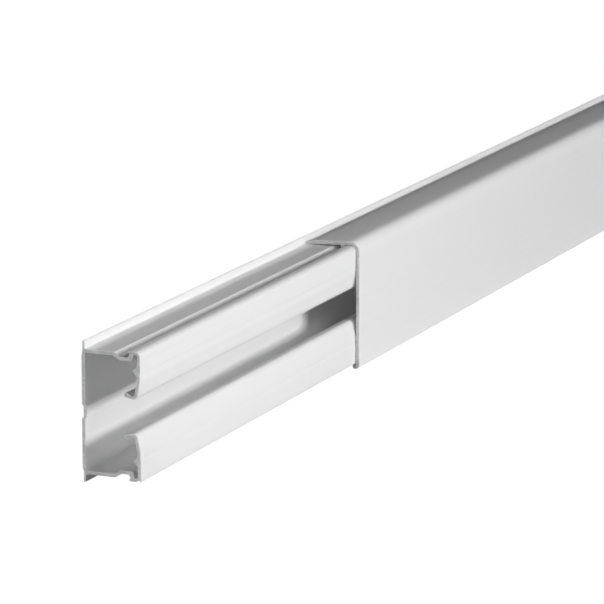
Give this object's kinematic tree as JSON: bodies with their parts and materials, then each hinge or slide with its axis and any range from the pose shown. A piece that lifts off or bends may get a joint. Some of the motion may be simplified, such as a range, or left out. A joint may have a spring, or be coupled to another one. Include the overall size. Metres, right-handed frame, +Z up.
{
  "type": "cable trunking",
  "caption": "Length of two-piece plastic cable trunking: a wall strip with an open front slot and a cover that clips over it, drawn back along the strip to bare its end.",
  "frame": {"origin": "middle of the footprint on the floor, with the cover drawn back as stored", "axes": "+X along the length towards the covered end, +Y towards the wall, -Y out of the cover's front, +Z up"},
  "size_m": [2.1884, 0.0238, 0.05],
  "materials": {
    "base_pvc": "satin white rigid PVC, as extruded",
    "cover_pvc": "satin white rigid PVC, as extruded"
  },
  "bodies": {
    "base": {"trunking_base": "base_pvc"},
    "cover": {"trunking_cover": "cover_pvc"}
  },
  "joints": [
    {"name": "cover_slide", "type": "slide", "parent": "base", "child": "cover", "axis": [1, 0, 0], "range_m": [-0.1885, 0.8115]}
  ]
}
